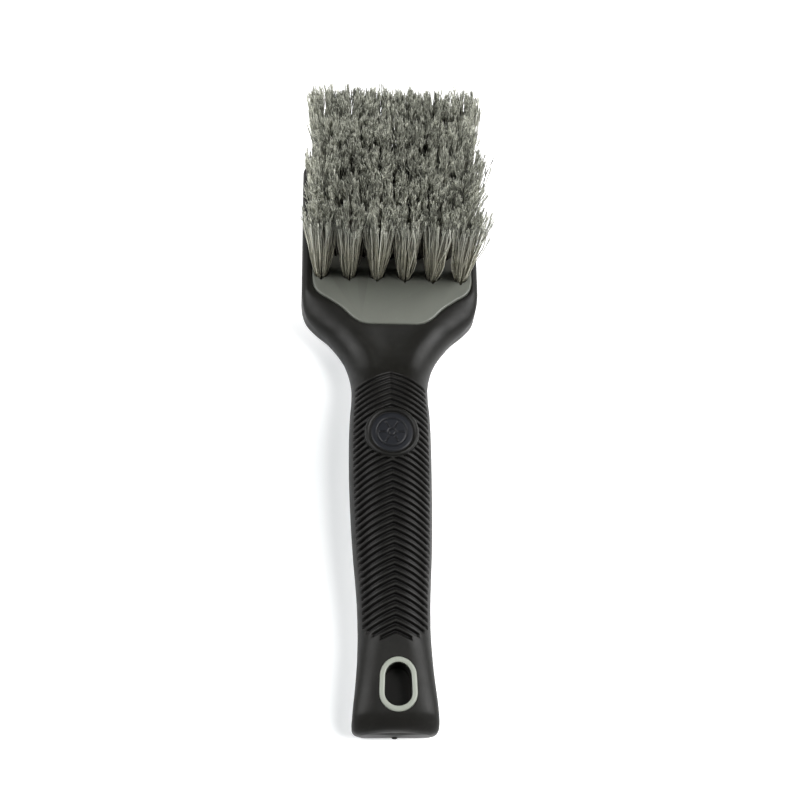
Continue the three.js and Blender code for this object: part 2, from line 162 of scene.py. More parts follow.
def section_points(y):
    """For an array y of shape (R, K), K = HALF + 1: x and z of the right half of the body section."""
    p = {n: f(y) for n, f in COLS.items()}
    x, z = np.zeros_like(y), np.zeros_like(y)
    k0 = 0
    for i in range(N_TOP):
        x[:, i] = ((p["a"] - p["tx"]) * i / N_TOP)[:, i]
        z[:, i] = p["zt"][:, i]
    k0 = N_TOP
    for i in range(N_ARC + 1):
        t = math.pi / 2 * i / N_ARC
        k = k0 + i
        x[:, k] = (p["a"] - p["tx"] + p["tx"] * math.sin(t))[:, k]
        z[:, k] = (p["zt"] - p["tz"] + p["tz"] * math.cos(t))[:, k]
    k0 += N_ARC
    for i in range(1, N_SIDE):
        k = k0 + i
        f = i / N_SIDE
        x[:, k] = p["a"][:, k]
        z[:, k] = ((p["zt"] - p["tz"]) * (1 - f) + (p["zb"] + p["bz"]) * f)[:, k]
    k0 += N_SIDE
    for i in range(N_BOT + 1):
        t = math.pi / 2 * i / N_BOT
        k = k0 + i
        x[:, k] = (p["a"] - p["bx"] + p["bx"] * math.cos(t))[:, k]
        z[:, k] = (p["zb"] + p["bz"] - p["bz"] * math.sin(t))[:, k]
    k0 += N_BOT
    for i in range(1, N_FLAT + 1):
        k = k0 + i
        x[:, k] = ((p["a"] - p["bx"]) * (1 - i / N_FLAT))[:, k]
        z[:, k] = p["zb"][:, k]
    mid = (p["zt"] + p["zb"]) / 2
    w = np.clip((z - mid) / (p["zt"] - mid), 0, 1)
    s = np.minimum(1, x / valley_reach(y))
    z = z - w * valley_depth(y) * (1 - s * s) ** 2
    return x, z


def top_z(x, y):
    """Height of the body's upper surface over (x, y), away from the grooves."""
    x, y = np.abs(np.asarray(x, float)), np.asarray(y, float)
    a, tx, tz, zt, zb = (COLS[n](y) for n in ("a", "tx", "tz", "zt", "zb"))
    t = np.clip((x - (a - tx)) / tx, 0, 1)
    z = zt - tz + tz * np.sqrt(np.maximum(0, 1 - t * t))
    mid = (zt + zb) / 2
    w = np.clip((z - mid) / (zt - mid), 0, 1)
    s = np.minimum(1, x / valley_reach(y))
    return z - w * valley_depth(y) * (1 - s * s) ** 2


def new_object(name, verts, faces, smooth_faces=True):
    me = bpy.data.meshes.new(name)
    me.from_pydata([tuple(v) for v in (np.asarray(verts) * MM)], [], faces)
    me.validate(clean_customdata=False)
    me.update()
    if smooth_faces:
        me.polygons.foreach_set("use_smooth", [True] * len(me.polygons))
    ob = bpy.data.objects.new(name, me)
    bpy.context.scene.collection.objects.link(ob)
    return ob


def sharpen(ob, degrees):
    """Keeps smooth shading, with a hard edge wherever two faces meet at more than this angle."""
    import bmesh
    bm = bmesh.new()
    bm.from_mesh(ob.data)
    lim = math.radians(degrees)
    for e in bm.edges:
        e.smooth = not (len(e.link_faces) == 2 and e.calc_face_angle(0) > lim)
    for f in bm.faces:
        f.smooth = True
        if len(f.verts) > 60:                              # a big flat face stays flat up to its edge
            for e in f.edges:
                e.smooth = False
    bm.to_mesh(ob.data)
    bm.free()


def grid_faces(rows, cols, closed=True, base=0, flip=False):
    out = []
    last = cols if closed else cols - 1
    for r in range(rows - 1):
        for c in range(last):
            a, b = base + r * cols + c, base + r * cols + (c + 1) % cols
            d, e = a + cols, base + (r + 1) * cols + (c + 1) % cols
            out.append((a, d, e, b) if flip else (a, b, e, d))
    return out


def loft(rings, caps=True, flip=False):
    """Closed body through rings of equal point counts, with flat ends."""
    n = len(rings[0])
    verts = np.concatenate(rings)
    faces = grid_faces(len(rings), n, True, 0, flip)
    if caps:
        first, last = list(range(n)), [(len(rings) - 1) * n + i for i in range(n)]
        faces.append(tuple(first if flip else first[::-1]))
        faces.append(tuple(last[::-1] if flip else last))
    return verts, faces


def with_z(points, z):
    points = np.asarray(points)
    return np.c_[points, np.full(len(points), z)]


def offset_outline(pts, d):
    """Moves a counter-clockwise outline outwards by d."""
    pts = np.asarray(pts, float)
    e1 = pts - np.roll(pts, 1, 0)
    e2 = np.roll(pts, -1, 0) - pts
    n1 = np.c_[e1[:, 1], -e1[:, 0]] / np.linalg.norm(e1, axis=1)[:, None]
    n2 = np.c_[e2[:, 1], -e2[:, 0]] / np.linalg.norm(e2, axis=1)[:, None]
    k = 1 + (n1 * n2).sum(1)
    return pts + d * (n1 + n2) / k[:, None]


def catmull(points, per=8):
    p = np.asarray(points, float)
    q = np.vstack([2 * p[0] - p[1], p, 2 * p[-1] - p[-2]])
    out = []
    for i in range(1, len(q) - 2):
        for j in range(per):
            t = j / per
            a, b, c, d = q[i - 1], q[i], q[i + 1], q[i + 2]
            out.append(0.5 * (2 * b + (c - a) * t + (2 * a - 5 * b + 4 * c - d) * t * t + (3 * b - a - 3 * c + d) * t**3))
    out.append(p[-1])
    return np.array(out)


def plate_outline():
    right_front = catmull(PLATE_FRONT, 6)               # side to middle
    arc = [(PLATE_HALF_W - PLATE_FAR_R + PLATE_FAR_R * math.cos(t), PLATE_FAR_Y - PLATE_FAR_R + PLATE_FAR_R * math.sin(t))
           for t in np.linspace(0, math.pi / 2, 13)]
    right = [tuple(p) for p in right_front[::-1]] + [(PLATE_HALF_W, y) for y in np.linspace(62, 100, 9)] + arc
    top = [(x, PLATE_FAR_Y) for x in np.linspace(22, -22, 9)]
    left = [(-x, y) for x, y in right[::-1]]
    bottom = [(x, 39.8) for x in np.linspace(-6, 6, 5)]
    return np.array(right + top + left + bottom) + [PLATE_SHIFT, 0]


def slot_outline(w, l, yc, n=20, taper=0.06):
    """A long round opening, slightly narrower at the far end."""
    r = w / 2
    up = [(r * math.cos(t), yc + l / 2 - r + r * math.sin(t)) for t in np.linspace(0, math.pi, n)]
    dn = [(r * math.cos(t), yc - l / 2 + r + r * math.sin(t)) for t in np.linspace(math.pi, 2 * math.pi, n)]
    shape = lambda x, y: (RING_X + x * (1 - taper * (y - yc) / (l / 2)), y)
    up, dn = [shape(*p) for p in up], [shape(*p) for p in dn]
    pts, out = up + dn, []
    for i, p in enumerate(pts):                         # even steps on the straight sides too
        q = pts[(i + 1) % len(pts)]
        out.append(p)
        if math.dist(p, q) > 2:
            for f in (0.2, 0.4, 0.6, 0.8):
                out.append((p[0] + (q[0] - p[0]) * f, p[1] + (q[1] - p[1]) * f))
    return np.array(out)


def boolean(ob, cutter, operation="DIFFERENCE"):
    mod = ob.modifiers.new("cut", "BOOLEAN")
    mod.operation = operation
    mod.solver = "EXACT"
    mod.object = cutter
    bpy.context.view_layer.update()
    dg = bpy.context.evaluated_depsgraph_get()
    me = bpy.data.meshes.new_from_object(ob.evaluated_get(dg), preserve_all_data_layers=True, depsgraph=dg)
    ob.modifiers.remove(mod)
    old = ob.data
    ob.data = me
    me.name = ob.name
    bpy.data.meshes.remove(old)


def remove(*obs):
    for o in obs:
        bpy.data.objects.remove(o, do_unlink=True)


def join(verts_faces):
    verts, faces, n = [], [], 0
    for v, f in verts_faces:
        verts.append(np.asarray(v))
        faces += [tuple(i + n for i in q) for q in f]
        n += len(v)
    return np.concatenate(verts), faces


# ------------------------------------------------------------------- materials
class Nodes:
    def __init__(self, name):
        self.m = bpy.data.materials.new(name)
        self.m.use_nodes = True
        self.t = self.m.node_tree
        self.t.nodes.clear()
        self.out = self.t.nodes.new("ShaderNodeOutputMaterial")
        self.p = self.t.nodes.new("ShaderNodeBsdfPrincipled")
        self.link(self.p.outputs[0], self.out.inputs[0])
        self.coord = self.t.nodes.new("ShaderNodeTexCoord")

    def link(self, a, b):
        self.t.links.new(a, b)

    def noise(self, scale, detail=3, rough=0.55, stretch=None, distortion=0.0):
        n = self.t.nodes.new("ShaderNodeTexNoise")
        n.inputs["Scale"].default_value = scale
        n.inputs["Detail"].default_value = detail
        n.inputs["Roughness"].default_value = rough
        n.inputs["Distortion"].default_value = distortion
        if stretch:
            mp = self.t.nodes.new("ShaderNodeMapping")
            mp.inputs["Scale"].default_value = stretch
            self.link(self.coord.outputs["Object"], mp.inputs["Vector"])
            self.link(mp.outputs[0], n.inputs["Vector"])
        else:
            self.link(self.coord.outputs["Object"], n.inputs["Vector"])
        return n.outputs["Fac"]

    def ramp(self, fac, stops, mode="LINEAR"):
        r = self.t.nodes.new("ShaderNodeValToRGB")
        r.color_ramp.interpolation = mode
        el = r.color_ramp.elements
        while len(el) < len(stops):
            el.new(0.5)
        for e, (pos, col) in zip(el, stops):
            e.position = pos
            e.color = (col, col, col, 1) if isinstance(col, float) else (*col, 1)
        self.link(fac, r.inputs[0])
        return r.outputs["Color"]

    def range(self, fac, lo, hi, a=0.3, b=0.7):
        r = self.t.nodes.new("ShaderNodeMapRange")
        r.inputs["From Min"].default_value = a
        r.inputs["From Max"].default_value = b
        r.inputs["To Min"].default_value = lo
        r.inputs["To Max"].default_value = hi
        self.link(fac, r.inputs["Value"])
        return r.outputs["Result"]

    def mix(self, fac, a, b, blend="MIX"):
        m = self.t.nodes.new("ShaderNodeMix")
        m.data_type = "RGBA"
        m.blend_type = blend
        for value, socket in ((fac, m.inputs[0]), (a, m.inputs[6]), (b, m.inputs[7])):
            if isinstance(value, (int, float)):
                socket.default_value = value
            elif isinstance(value, tuple):
                socket.default_value = (*value, 1)
            else:
                self.link(value, socket)
        return m.outputs[2]

    def math(self, op, a, b):
        m = self.t.nodes.new("ShaderNodeMath")
        m.operation = op
        for value, socket in ((a, m.inputs[0]), (b, m.inputs[1])):
            if isinstance(value, (int, float)):
                socket.default_value = value
            else:
                self.link(value, socket)
        return m.outputs[0]

    def attribute(self, name):
        a = self.t.nodes.new("ShaderNodeAttribute")
        a.attribute_name = name
        return a.outputs["Fac"]

    def bump(self, height, distance, strength=1.0, normal=None):
        b = self.t.nodes.new("ShaderNodeBump")
        b.inputs["Strength"].default_value = strength
        b.inputs["Distance"].default_value = distance
        self.link(height, b.inputs["Height"])
        if normal is not None:
            self.link(normal, b.inputs["Normal"])
        return b.outputs[0]


def rubber_material():
    n = Nodes("soft_rubber")
    cloud = n.noise(55, 3, 0.6)
    grain = n.noise(2600, 2, 0.6)
    base = n.mix(n.range(cloud, 0, 1), (0.0060, 0.0058, 0.0049), (0.0080, 0.0077, 0.0065))
    dust = n.math("MULTIPLY", n.range(n.noise(420, 4, 0.7), 0, 1, 0.52, 0.75), 0.25)
    base = n.mix(dust, base, (0.018, 0.0175, 0.015))
    base = n.mix(n.attribute("disc"), base, (0.0078, 0.0088, 0.0115))
    # grooves and the badge's pressed lines are darkened nearly to black: painted shade in the recesses
    painted_recess_shade = n.attribute("painted_recess_shade")
    base = n.mix(painted_recess_shade, base, (0.0014, 0.0012, 0.0010))
    n.link(base, n.p.inputs["Base Color"])
    n.link(n.range(n.noise(160, 3, 0.6), 0.41, 0.51), n.p.inputs["Roughness"])
    n.p.inputs["Specular IOR Level"].default_value = 0.23
    soft = n.bump(n.noise(300, 2, 0.5), 0.00006, 0.6)
    n.link(n.bump(grain, 0.00003, 0.55, soft), n.p.inputs["Normal"])
    return n.m


def core_material():
    n = Nodes("core_plastic")
    flow = n.noise(38, 3, 0.5, (1.0, 0.35, 1.0), 0.6)
    base = n.mix(n.range(flow, 0, 1), (0.112, 0.118, 0.101), (0.130, 0.137, 0.118))
    scuff = n.math("MULTIPLY", n.range(n.noise(900, 5, 0.75), 0, 1, 0.56, 0.8), 0.18)
    base = n.mix(scuff, base, (0.235, 0.238, 0.215))
    # the ring is the same plastic as the plate, drawn in a lighter copy of its colour: painted light
    base = n.mix(n.attribute("ring_painted_light"), base, (0.262, 0.280, 0.240))
    # the plate from just behind the front row of tufts is darkened: painted shade under the bristles
    base = n.mix(n.attribute("painted_bristle_shade"), base, (0.030, 0.029, 0.023))
    n.link(base, n.p.inputs["Base Color"])
    n.link(n.range(n.noise(240, 3, 0.6), 0.36, 0.50), n.p.inputs["Roughness"])
    n.p.inputs["Specular IOR Level"].default_value = 0.5
    n.link(n.bump(n.noise(3200, 2, 0.5), 0.00002, 0.45), n.p.inputs["Normal"])
    return n.m


def bristle_material():
    n = Nodes("bristle")
    # each filament's value is its own random tone plus painted light on the lit outer strands
    filament_tone_and_painted_light = n.attribute("filament_tone_and_painted_light")          # one value for each filament
    along = n.attribute("along")          # 0 in the hole, 1 at the tip
    root = n.ramp(filament_tone_and_painted_light, [(0.0, (0.14, 0.132, 0.098)), (0.35, (0.31, 0.299, 0.228)), (0.7, (0.50, 0.486, 0.382)), (1.0, (0.84, 0.824, 0.690))])
    tip = n.ramp(filament_tone_and_painted_light, [(0.0, (0.10, 0.102, 0.084)), (0.35, (0.27, 0.276, 0.234)), (0.7, (0.50, 0.511, 0.438)), (1.0, (0.86, 0.866, 0.765))])
    base = n.mix(n.range(along, 0, 1, 0.45, 1.0), root, tip)
    # filaments of the rows behind the front row are darkened, most near the root and fading out towards the tip:
    # painted shade inside the bristle block
    base = n.mix(n.math("MULTIPLY", n.attribute("inner"), n.range(along, 1, 0, 0.35, 0.85)), base, (0.055, 0.050, 0.040))
    streak = n.noise(700, 3, 0.6, (1.0, 1.0, 0.08))
    base = n.mix(n.math("MULTIPLY", n.range(streak, 0, 1), 0.3), base, (0.20, 0.195, 0.165), "MULTIPLY")
    n.link(base, n.p.inputs["Base Color"])
    n.link(n.range(n.noise(900, 2, 0.5), 0.34, 0.50), n.p.inputs["Roughness"])
    n.p.inputs["Specular IOR Level"].default_value = 0.45
    n.link(n.bump(streak, 0.00002, 0.3), n.p.inputs["Normal"])
    return n.m


def wire_material():
    n = Nodes("anchor_wire")
    lines = n.noise(900, 4, 0.6, (1.0, 0.05, 1.0))
    n.link(n.mix(n.range(lines, 0, 1), (0.50, 0.50, 0.51), (0.64, 0.64, 0.65)), n.p.inputs["Base Color"])
    n.p.inputs["Metallic"].default_value = 1.0
    n.link(n.range(lines, 0.25, 0.42), n.p.inputs["Roughness"])
    n.link(n.bump(lines, 0.00002, 0.3), n.p.inputs["Normal"])
    return n.m


RUBBER, CORE, BRISTLE, WIRE = rubber_material(), core_material(), bristle_material(), wire_material()


# ------------------------------------------------------------------- overmould
def groove_depth(s):
    """Depth factor 0..1 of the chevron grooves at chevron coordinate s, and each point's groove number."""
    i = np.round((RIB_FIRST_Y - s) / RIB_PITCH)
    d = np.abs(s - (RIB_FIRST_Y - i * RIB_PITCH))
    f = np.interp(d, [0, 0.22, 0.40, 0.52, 0.66, 0.80, 0.96, 1.23], [1.0, 1.0, 0.90, 0.60, 0.20, 0.04, 0.0, -0.02])
    inside = (i >= 0) & (i < RIB_COUNT)
    return np.where(inside, f, 0.0), i


def overmould_mesh():
    s = [110 - 4 * (1 - math.cos(t)) for t in np.linspace(0, math.pi / 2, 15)]
    s += list(np.arange(104.5, 56, -1.5)) + list(np.arange(56, 41, -0.55)) + list(np.arange(41, 18.6, -0.42))
    step = [-1.23, -0.96, -0.80, -0.66, -0.52, -0.40, -0.22, 0.0, 0.22, 0.40, 0.52, 0.66, 0.80, 0.96]
    for i in range(RIB_COUNT):
        c = RIB_FIRST_Y - i * RIB_PITCH
        s += [c - o for o in step]
    s += [RIB_FIRST_Y - RIB_COUNT * RIB_PITCH + 1.22]
    s += list(np.arange(-79.6, -103.4, -0.5)) + list(np.arange(-103.6, -107, -0.25))
    s += [-107 - 3 * math.sin(t) for t in np.linspace(0, math.pi / 2, 16)]
    s = np.array(sorted(set(np.round(s, 4)), reverse=True))
    rows = len(s)
    slope = RIB_SLOPE * smooth(46, 19.5, s) * smooth(-100, -80, s)
    S = np.repeat(s[:, None], HALF + 1, 1)
    Y = S.copy()
    for _ in range(4):                                    # the rings bend into chevrons where the grooves are
        x, z = section_points(Y)
        arm = np.sqrt(x * x + 0.3**2) - 0.3 + 0.006 * x * x
        Y = np.clip(S - slope[:, None] * arm, -110, 110)
    x, z = section_points(Y)
    # full ring: right half, then the left half back up
    X = np.concatenate([x, -x[:, -2:0:-1]], 1)
    Z = np.concatenate([z, z[:, -2:0:-1]], 1)
    YY = np.concatenate([Y, Y[:, -2:0:-1]], 1)
    SS = np.concatenate([S, S[:, -2:0:-1]], 1)
    K = np.concatenate([np.arange(HALF + 1), np.arange(HALF + 1)[-2:0:-1]])
    n = X.shape[1]
    P = np.stack([X, YY, Z], 2)
    du = np.roll(P, -1, 1) - np.roll(P, 1, 1)
    dv = np.gradient(P, axis=0)
    N = np.cross(du, dv)
    N /= np.maximum(1e-9, np.linalg.norm(N, axis=2))[:, :, None]
    centre = np.stack([0 * X, YY, (COLS["zt"](YY) + COLS["zb"](YY)) / 2], 2)
    N *= np.sign((N * (P - centre)).sum(2))[:, :, None] + 1e-12
    f, gi = groove_depth(SS)
    lim = COLS["a"](YY) - 1.35
    for i, w in RIB_END_SHORT.items():
        lim = np.where(gi == i, np.minimum(lim, w), lim)
    mask = 1 - smooth(lim - 0.55, lim + 0.05, np.abs(X))
    mask *= (K[None, :] <= N_TOP + N_ARC + 1)
    r = np.hypot(X, YY - BADGE_Y)
    upper = (K[None, :] <= N_TOP + N_ARC)
    mask *= np.where(upper, smooth(BADGE_R + 0.15, BADGE_R + 0.6, r), 1)
    cut = f * mask
    sink = np.where(upper, 1 - smooth(BADGE_R - 0.7, BADGE_R - 0.2, r), 0) * 1.3
    P = P - N * (cut * RIB_DEPTH)[:, :, None]
    P[:, :, 2] -= sink
    mid = (COLS["zt"](YY) + COLS["zb"](YY)) / 2
    over = np.clip((Z - mid) / (COLS["zt"](YY) - mid), 0, 1)
    arc = 0.7 * smooth(-99.5, -106, YY)
    P[:, :, 1] += arc * over * (1 - np.clip(np.abs(X) / COLS["a"](YY), 0, 1) ** 2)
    P[:, :, 0] += bend(YY)
    verts = P.reshape(-1, 3)
    faces = grid_faces(rows, n, True)
    # groove depth of each point, used as painted shade in the grooves
    recess_shade_amount = np.clip(cut, 0, 1).reshape(-1)
    uv_rows = np.concatenate([[0], np.cumsum(np.linalg.norm(np.diff(P[:, N_TOP], axis=0), axis=1))])
    # end caps: rings shrinking to the middle
    extra, caps = [], []
    base = len(verts)
    for end in (0, rows - 1):
        ring = P[end]
        mid = ring.mean(0)
        prev = [end * n + j for j in range(n)]
        sign = 1 if end == 0 else -1
        for q in (0.86, 0.6, 0.3):
            ids = []
            for j in range(n):
                v = mid + (ring[j] - mid) * q
                v[1] = ring[j][1] + sign * 0.0 if end == 0 else ring[j][1]
                extra.append(v)
                ids.append(base + len(extra) - 1)
            for j in range(n):
                a, b, c, d = prev[j], prev[(j + 1) % n], ids[(j + 1) % n], ids[j]
                caps.append((d, c, b, a) if end == 0 else (a, b, c, d))
            prev = ids
        extra.append(mid)
        cid = base + len(extra) - 1
        for j in range(n):
            a, b = prev[j], prev[(j + 1) % n]
            caps.append((cid, b, a) if end == 0 else (a, b, cid))
    verts = np.concatenate([verts, np.array(extra)])
    recess_shade_amount = np.concatenate([recess_shade_amount, np.zeros(len(extra))])
    return verts, faces + caps, recess_shade_amount


def badge_mesh():
    """The round badge: lip, step and a plain disc with a six-spoked wheel pressed into it."""
    radii = np.unique(np.round(np.concatenate([np.arange(0.12, 8.2, 0.17), np.arange(8.2, BADGE_R + 0.001, 0.085)]), 4))
    nt = 168
    th = np.arange(nt) * 2 * math.pi / nt
    R, T = np.meshgrid(radii, th, indexing="ij")
    X, Y = R * np.cos(T), R * np.sin(T)
    surf = top_z(X, Y + BADGE_Y)
    crown = top_z(0.0, BADGE_Y)
    z = crown + 0.12 - 0.42 * (crown - surf)
    lip = 0.42 * np.exp(-(((R - 8.75) / 0.52) ** 2))
    step = -0.34 * smooth(8.15, 7.75, R)
    well = -0.22 * np.exp(-(((R - 7.55) / 0.30) ** 4))
    ring = -0.22 * np.exp(-(((R - 5.3) / 0.34) ** 4))
    sector = (T * 6 / (2 * math.pi)) % 1.0
    off = np.minimum(sector, 1 - sector) * (2 * math.pi / 6) * R
    spoke = -0.22 * (1 - smooth(0.24, 0.40, off)) * smooth(1.9, 2.2, R) * (1 - smooth(4.3, 4.6, R))
    hub = -0.22 * np.exp(-(((R - 1.25) / 0.30) ** 4))
    edge = -0.30 * smooth(BADGE_R - 0.35, BADGE_R, R) ** 2
    z = z + lip + step + well + ring + spoke + hub + edge
    top = np.stack([X, Y + BADGE_Y, z], 2)
    low = np.stack([X[-1], Y[-1] + BADGE_Y, np.minimum(z[-1] - 0.4, surf[-1] - 0.9)], 1)
    verts = [np.array([[0, BADGE_Y, float(z[0].mean())]]), top.reshape(-1, 3), low, np.array([[0, BADGE_Y, float(low[:, 2].min()) - 0.2]])]
    faces = [(0, 1 + j, 1 + (j + 1) % nt) for j in range(nt)]
    faces += grid_faces(len(radii), nt, True, 1, True)
    base = 1 + (len(radii) - 1) * nt
    low0 = 1 + len(radii) * nt
    for j in range(nt):
        k = (j + 1) % nt
        faces.append((base + j, low0 + j, low0 + k, base + k))
        faces.append((low0 + j, low0 + nt, low0 + k))
    # painted shade in the badge's pressed ring, spokes, hub and well
    recess_shade_amount = np.concatenate([[0], np.clip(-(ring + spoke + hub + well) * 2.6, 0, 0.6).reshape(-1), np.zeros(nt + 1)])
    verts = np.concatenate(verts)
    verts[:, 0] += bend(BADGE_Y)
    blue = np.concatenate([[1], (1 - smooth(7.2, 7.9, R)).reshape(-1), np.zeros(nt + 1)])
    return verts, faces, recess_shade_amount, blue


def set_attribute(ob, name, values):
    a = ob.data.attributes.new(name, "FLOAT", "POINT")
    a.data.foreach_set("value", np.asarray(values, np.float32))


outline = plate_outline()

v, f, recess_shade_amount = overmould_mesh()
overmould = new_object("overmould_rubber", v, f)
set_attribute(overmould, "painted_recess_shade", recess_shade_amount)

# pocket for the head plate, its lip eased where the rubber meets the plate
rings = [with_z(offset_outline(outline, 0.08), PLATE_BOTTOM - 0.3)]
for t in np.linspace(0, 1, 6):
    rings.append(with_z(offset_outline(outline, 0.08 + 0.42 * t * t), 15.5 - 0.42 + 0.42 * t))
rings.append(with_z(offset_outline(outline, 0.55), 24))
cut_plate = new_object("cut_plate", *loft(rings))
stem_pts = np.array(STEM, float)
grown = offset_outline(stem_pts, 0.3)
sv = [np.c_[np.full(len(grown), sx), grown] for sx in (-STEM_HALF_W - 0.3, STEM_HALF_W + 0.3)]
cut_stem = new_object("cut_stem", *loft(sv, flip=True))
ring_out, ring_in = slot_outline(RING_W, RING_L, HANG_Y), slot_outline(HANG_W, HANG_L, HANG_Y)


def tube_cutter(name, outer, inner, z0, z1):
    tn = len(outer)
    tv = np.concatenate([with_z(outer, z0), with_z(outer, z1), with_z(inner, z1), with_z(inner, z0)])
    tf = grid_faces(4, tn, True) + [(3 * tn + j, 3 * tn + (j + 1) % tn, (j + 1) % tn, j) for j in range(tn)]
    return new_object(name, tv, tf)


cut_tube = tube_cutter("cut_tube", offset_outline(ring_out, 0.05), offset_outline(ring_in, 0.75), RING_BOTTOM - 0.3, 24)
prof = []
for q, dz in ((-0.02, -1.1), (0.8, -1.1), (0.8, 8.0), (-0.02, 8.0)):
    o = offset_outline(ring_in, q)
    prof.append(np.c_[o, top_z(o[:, 0], o[:, 1]) + dz])
rn = len(ring_in)
cut_seat = new_object("cut_seat", np.concatenate(prof), grid_faces(4, rn, True, 0, True) + [(j, (j + 1) % rn, 3 * rn + (j + 1) % rn, 3 * rn + j) for j in range(rn)])
cut_plug = new_object("cut_plug", *loft([with_z(offset_outline(ring_in, -0.35), POCKET_FLOOR), with_z(offset_outline(ring_in, -0.05), POCKET_FLOOR + 0.4), with_z(ring_in, POCKET_FLOOR + 1.0), with_z(ring_in, 26)]))
for c in (cut_plate, cut_stem, cut_tube, cut_seat, cut_plug):
    boolean(overmould, c)
remove(cut_plate, cut_stem, cut_tube, cut_seat, cut_plug)

bv, bf, badge_recess_shade, bb = badge_mesh()
badge = new_object("badge_tmp", bv, bf)
set_attribute(badge, "painted_recess_shade", badge_recess_shade)
set_attribute(badge, "disc", bb)
nub_r = [with_z([(0.8 * math.cos(t), 0.8 * math.sin(t)) for t in np.linspace(0, 2 * math.pi, 16, endpoint=False)], 0)]
nv = []
for dy, k in ((-0.6, 1.0), (0.25, 1.0), (0.45, 0.8), (0.55, 0.4)):
    nv.append(np.array([[-0.2 + 1.0 * k * math.cos(t), -110 - dy, 2.9 + 0.8 * k * math.sin(t)] for t in np.linspace(0, 2 * math.pi, 16, endpoint=False)]))
nub = new_object("nub_tmp", *loft(nv))
set_attribute(nub, "painted_recess_shade", np.zeros(len(nub.data.vertices)))


def merge_into(target, others):
    """Joins meshes, keeping attributes."""
    bpy.ops.object.select_all(action="DESELECT")
    for o in [target, *others]:
        o.select_set(True)
    bpy.context.view_layer.objects.active = target
    bpy.ops.object.join()


merge_into(overmould, [badge, nub])
sharpen(overmould, 40)
overmould.data.materials.clear()
overmould.data.materials.append(RUBBER)
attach(overmould, "root")
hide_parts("overmould")


# ------------------------------------------------------------------------ core
def tuft_places():
    y_mid = TUFT_FIRST_Y + TUFT_PITCH_Y * 2
    c, s = math.cos(math.radians(TUFT_SKEW)), math.sin(math.radians(TUFT_SKEW))
    out = []
    for row, count in enumerate(TUFT_ROWS):
        for i in range(count):
            x, y = (i - (count - 1) / 2) * TUFT_PITCH_X, TUFT_FIRST_Y + row * TUFT_PITCH_Y - y_mid
            out.append((row, i, count, TUFT_X + c * x - s * y, y_mid + s * x + c * y))
    return out


PLACES = tuft_places()

rings = [with_z(offset_outline(outline, -0.7), PLATE_BOTTOM), with_z(offset_outline(outline, -0.1), PLATE_BOTTOM + 0.6),
         with_z(outline, PLATE_BOTTOM + 1.2), with_z(outline, PLATE_TOP - 0.75)]
for t in np.linspace(0.15, 1, 6):
    a = t * math.pi / 2
    rings.append(with_z(offset_outline(outline, -0.75 * (1 - math.cos(a))), PLATE_TOP - 0.75 + 0.75 * math.sin(a)))
core = new_object("core_plate", *loft(rings))
holes = []
for row, i, count, cx, cy in PLACES:
    ang = np.linspace(0, 2 * math.pi, 32, endpoint=False)
    circ = lambda r: [(cx + r * math.cos(t), cy + r * math.sin(t)) for t in ang]
    holes.append(loft([with_z(circ(HOLE_R), HOLE_BOTTOM), with_z(circ(HOLE_R), PLATE_TOP - 0.28),
                       with_z(circ(HOLE_R + 0.12), PLATE_TOP - 0.08), with_z(circ(HOLE_R + 0.34), PLATE_TOP + 0.06), with_z(circ(HOLE_R + 0.34), PLATE_TOP + 1)]))
hv, hf = join(holes)
cut_holes = new_object("cut_holes", hv, hf)
slots = []
for row, i, count, cx, cy in PLACES:
    w, l = SLOT_W / 2, SLOT_L / 2
    pts = [(cx + w * math.cos(t), cy + l - w + w * math.sin(t)) for t in np.linspace(0, math.pi, 9)]
    pts += [(cx + w * math.cos(t), cy - l + w + w * math.sin(t)) for t in np.linspace(math.pi, 2 * math.pi, 9)]
    slots.append(loft([with_z(pts, SLOT_BOTTOM), with_z(pts, PLATE_TOP - 0.12), with_z(offset_outline(pts, 0.14), PLATE_TOP + 0.05), with_z(offset_outline(pts, 0.14), PLATE_TOP + 1)]))
sv_, sf_ = join(slots)
cut_slots = new_object("cut_slots", sv_, sf_)
boolean(core, cut_holes)
boolean(core, cut_slots)
remove(cut_holes, cut_slots)

# the ring round the pocket follows the surface of the butt; below its lip the rubber lines it
wall = (RING_W - HANG_W) / 2
prof = []
for q, level in ((0.75, "floor"), (0.75, -1.0), (0.0, -1.0), (0.0, -0.28), (0.05, -0.1), (0.18, 0.04), (0.45, 0.15), (wall / 2, 0.18), (wall - 0.4, 0.14), (wall - 0.14, 0.03), (wall - 0.03, -0.1), (wall, -0.4), (wall, "floor")):
    o = offset_outline(ring_in, q)
    surf = top_z(o[:, 0], o[:, 1])
    prof.append(np.c_[o, np.full(len(o), RING_BOTTOM) if level == "floor" else surf + level])
rv = np.concatenate(prof)
rf = grid_faces(len(prof), rn, True, 0, True) + [(j, (j + 1) % rn, (len(prof) - 1) * rn + (j + 1) % rn, (len(prof) - 1) * rn + j) for j in range(rn)]
ring = new_object("ring_tmp", rv, rf)
# marks the ring for the lighter copy of the plastic colour: painted light
set_attribute(ring, "ring_painted_light", np.ones(len(rv)))

# the stem inside the handle
inner = offset_outline(stem_pts, -1.0)
sv = []
for sx, pts in ((-STEM_HALF_W, inner), (-STEM_HALF_W + 1.0, stem_pts), (STEM_HALF_W - 1.0, stem_pts), (STEM_HALF_W, inner)):
    sv.append(np.c_[np.full(len(pts), sx), pts])
stem = new_object("stem_tmp", *loft(sv, flip=True))
for part in (core, stem):
    set_attribute(part, "ring_painted_light", np.zeros(len(part.data.vertices)))
merge_into(core, [ring, stem])
co = np.array([v.co for v in core.data.vertices]) / MM
# painted shade on the plate behind the front row, under the bristles
set_attribute(core, "painted_bristle_shade", 0.8 * smooth(59.5, 63.5, co[:, 1]) * smooth(PLATE_BOTTOM, PLATE_TOP - 1, co[:, 2]))
sharpen(core, 38)
core.data.materials.clear()
core.data.materials.append(CORE)
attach(core, "root")
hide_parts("core")


